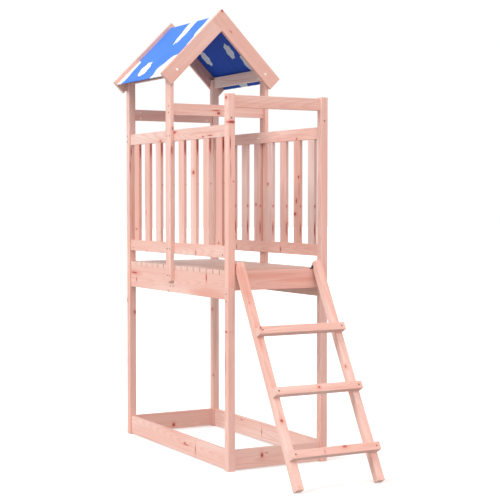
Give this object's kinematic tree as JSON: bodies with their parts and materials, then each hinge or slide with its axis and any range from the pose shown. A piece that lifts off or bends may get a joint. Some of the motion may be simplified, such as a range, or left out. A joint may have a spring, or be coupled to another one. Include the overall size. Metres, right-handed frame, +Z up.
{
  "type": "play tower",
  "caption": "Tall narrow timber play tower: slatted side rails round a raised board deck, a leaning ladder at one end, a gabled cloth roof over the other half.",
  "frame": {"origin": "on the ground, at the centre of the whole outline's box seen from above, ladder and roof included", "axes": "+Z up; the ladder is at the -Y end, the roof over the +Y half; +X to the right seen from the ladder"},
  "size_m": [0.65, 1.667, 2.1401],
  "materials": {
    "timber": "planed softwood, matt",
    "cloth": "woven, matt",
    "black_steel": "black, satin"
  },
  "bodies": {
    "root": {"front_left_leg": "timber", "front_right_leg": "timber", "rear_left_leg": "timber", "rear_right_leg": "timber", "front_left_post": "timber", "front_right_post": "timber", "rear_left_post": "timber", "rear_right_post": "timber", "middle_left_post": "timber", "middle_right_post": "timber", "left_base_board": "timber", "right_base_board": "timber", "front_base_board": "timber", "rear_base_board": "timber", "left_side_beam": "timber", "right_side_beam": "timber", "front_end_beam": "timber", "rear_end_beam": "timber", "deck_boards": "timber", "left_bottom_rail": "timber", "right_bottom_rail": "timber", "left_top_rail": "timber", "right_top_rail": "timber", "left_slats": "timber", "right_slats": "timber", "front_top_bar": "timber", "middle_top_bar": "timber", "rear_top_bar": "timber", "front_left_rafter": "timber", "front_right_rafter": "timber", "rear_left_rafter": "timber", "rear_right_rafter": "timber", "left_eave_beam": "timber", "right_eave_beam": "timber", "ridge_beam": "timber", "left_stringer": "timber", "right_stringer": "timber", "bottom_tread": "timber", "middle_tread": "timber", "top_tread": "timber", "roof_cloth": "cloth", "left_ladder_bracket": "black_steel", "right_ladder_bracket": "black_steel"}
  },
  "joints": []
}
